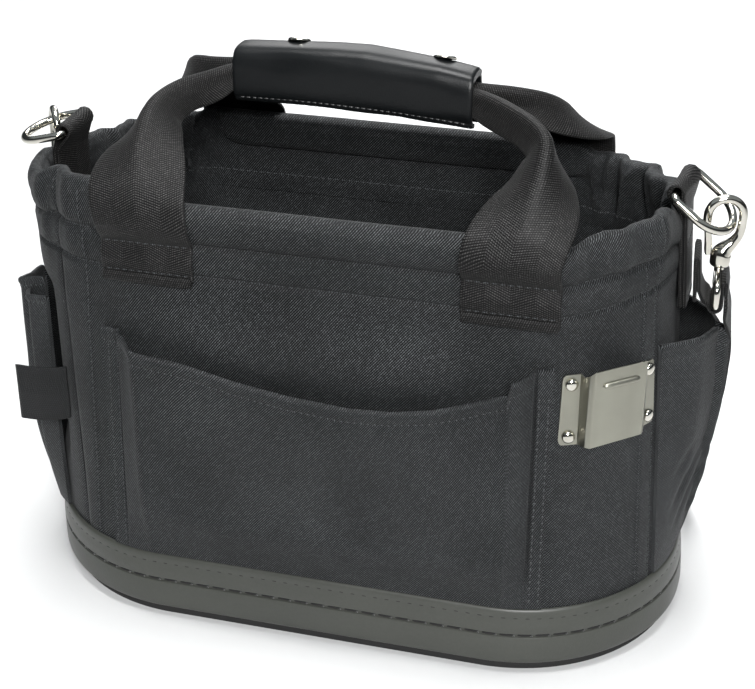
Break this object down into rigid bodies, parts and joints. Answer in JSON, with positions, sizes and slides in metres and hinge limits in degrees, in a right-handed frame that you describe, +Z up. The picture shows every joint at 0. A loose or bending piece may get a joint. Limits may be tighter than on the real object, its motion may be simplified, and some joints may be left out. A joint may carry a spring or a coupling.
{
  "type": "tool bag",
  "caption": "Open-top soft tool bag with a moulded base, outside pockets, twin webbing handles joined by a wrapped grip, a tape clip and a clip-on shoulder strap.",
  "frame": {"origin": "centre of the foot plate's flat underside, at floor level", "axes": "+X along the bag's length to its right, +Y to its back, +Z up; the pocketed front faces -Y"},
  "size_m": [0.4091, 0.2681, 0.3131],
  "materials": {
    "nylon": "woven matt",
    "webbing": "ribbed webbing",
    "base": "satin vinyl",
    "foot": "matt",
    "grip": "smooth with a soft sheen",
    "tag": "close woven",
    "clip_metal": "satin nickel plate",
    "hook_metal": "polished nickel plate"
  },
  "bodies": {
    "bag": {"foot_plate": "foot", "base_tray": "base", "front_panel": "nylon", "right_end_panel": "nylon", "back_panel": "nylon", "left_end_panel": "nylon", "front_pocket": "nylon", "right_end_pocket": "nylon", "left_end_pocket": "nylon", "left_sleeve_pocket": "nylon", "tape_clip": "clip_metal", "clip_rivet_1": "clip_metal", "clip_rivet_2": "clip_metal", "clip_rivet_3": "clip_metal", "clip_rivet_4": "clip_metal", "front_handle": "webbing", "back_handle": "webbing", "handle_grip": "grip", "grip_snap_1": "clip_metal", "grip_snap_2": "clip_metal", "right_ring": "hook_metal", "left_ring": "hook_metal", "right_tab": "webbing", "left_tab": "webbing", "right_hook": "hook_metal", "right_eye": "hook_metal", "left_hook": "hook_metal", "left_eye": "hook_metal", "shoulder_strap": "webbing", "side_tag": "tag"},
    "right_gate": {"right_gate": "hook_metal"},
    "left_gate": {"left_gate": "hook_metal"}
  },
  "joints": [
    {"name": "right_gate_hinge", "type": "hinge", "parent": "bag", "child": "right_gate", "pos_m": [0.18566, -0.00493, 0.21927], "axis": [-0.28, 0.9599, 0.0112], "range_deg": [0, 22], "stiffness_Nm_per_rad": 0.05, "springref_deg": -17.19},
    {"name": "left_gate_hinge", "type": "hinge", "parent": "bag", "child": "left_gate", "pos_m": [-0.18409, 0.01176, 0.22412], "axis": [-0.829, -0.5593, 0], "range_deg": [0, 22], "stiffness_Nm_per_rad": 0.05, "springref_deg": -17.19}
  ]
}
